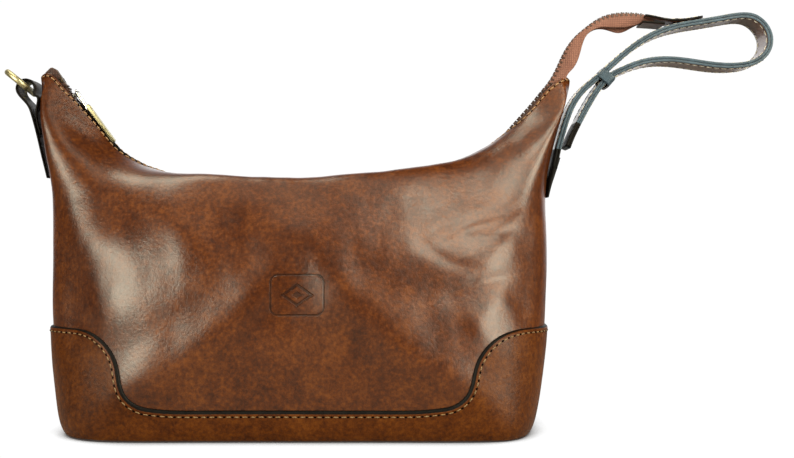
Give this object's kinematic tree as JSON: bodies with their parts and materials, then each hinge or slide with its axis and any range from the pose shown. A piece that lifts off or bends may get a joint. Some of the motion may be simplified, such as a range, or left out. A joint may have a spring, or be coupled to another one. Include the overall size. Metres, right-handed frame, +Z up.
{
  "type": "shaving kit bag",
  "caption": "Soft leather zip-top shaving kit bag with raised ends, a wrist strap, a D-ring tab and a snap-down zip tail.",
  "frame": {"origin": "centre of the underside of the base", "axes": "+X along the zip towards the wrist strap, -Y is the front, +Z up"},
  "size_m": [0.3903, 0.112, 0.2102],
  "materials": {
    "cognac_leather": "smooth semi-gloss",
    "base_leather": "smooth semi-gloss",
    "tab_leather": "satin",
    "strap_leather": "satin",
    "strap_backing_leather": "matt flesh side",
    "lining_cloth": "matt twill",
    "binding_cloth": "matt",
    "base_board": "matt",
    "zip_tape": "matt woven",
    "tail_tape": "matt woven",
    "zip_teeth": "dull",
    "antique_brass": "antique",
    "nickel_wire": "bright",
    "snap_chrome": "polished"
  },
  "bodies": {
    "bag": {"base_cover": "base_leather", "base_board": "base_board", "base_lining": "lining_cloth", "seam_binding_left": "binding_cloth", "seam_binding_right": "binding_cloth", "ring_tab": "tab_leather", "strap_anchor": "tab_leather"},
    "front_side": {"front_panel": "cognac_leather", "front_lining": "lining_cloth", "zip_tape_front": "zip_tape", "zip_teeth_front": "zip_teeth", "zip_stop_front": "antique_brass"},
    "back_side": {"back_panel": "cognac_leather", "back_lining": "lining_cloth", "inner_pocket": "lining_cloth", "zip_tape_back": "zip_tape", "zip_teeth_back": "zip_teeth", "zip_stop_back": "antique_brass"},
    "slider": {"slider_body": "antique_brass", "slider_bridge": "antique_brass"},
    "link": {"pull_link": "nickel_wire"},
    "pull": {"pull_bar": "antique_brass"},
    "ring": {"d_ring": "antique_brass"},
    "strap": {"strap_outer": "strap_leather", "strap_inner": "strap_backing_leather", "strap_keeper": "strap_leather", "strap_stud": "snap_chrome"},
    "tail": {"tail_tape_front": "tail_tape", "tail_tape_back": "tail_tape", "tail_teeth": "zip_teeth", "tail_tab_upper": "strap_leather", "tail_tab_lower": "strap_backing_leather", "tail_snap_cap": "snap_chrome"}
  },
  "joints": [
    {"name": "mouth_front", "type": "slide", "parent": "bag", "child": "front_side", "axis": [0, -1, 0], "range_m": [0, 0.038]},
    {"name": "mouth_back", "type": "slide", "parent": "bag", "child": "back_side", "axis": [0, 1, 0], "range_m": [0, 0.038]},
    {"name": "zip_travel", "type": "hinge", "parent": "bag", "child": "slider", "pos_m": [0, 0, 0.2695], "axis": [0, -1, 0], "range_deg": [0, 84.1]},
    {"name": "link_swing", "type": "hinge", "parent": "slider", "child": "link", "pos_m": [-0.11562, 0, 0.16649], "axis": [0, -1, 0], "range_deg": [0, 95]},
    {"name": "pull_swing", "type": "hinge", "parent": "link", "child": "pull", "pos_m": [-0.11065, 0, 0.15853], "axis": [0, -1, 0], "range_deg": [0, 14]},
    {"name": "ring_swing", "type": "hinge", "parent": "bag", "child": "ring", "pos_m": [-0.1406, 0, 0.1693], "axis": [0, -1, 0], "range_deg": [-55, 55]},
    {"name": "strap_swing", "type": "hinge", "parent": "bag", "child": "strap", "pos_m": [0.126, 0, 0.1285], "axis": [0, 1, 0], "range_deg": [0, 60]},
    {"name": "tail_lift", "type": "hinge", "parent": "bag", "child": "tail", "pos_m": [0.1275, 0, 0.178], "axis": [0, -1, 0], "range_deg": [0, 40]}
  ],
  "couplings": [
    {"joint": "mouth_back", "follows": "mouth_front", "ratio": 1},
    {"joint": "zip_travel", "follows": "mouth_front", "rad_per_m": 38.581}
  ]
}
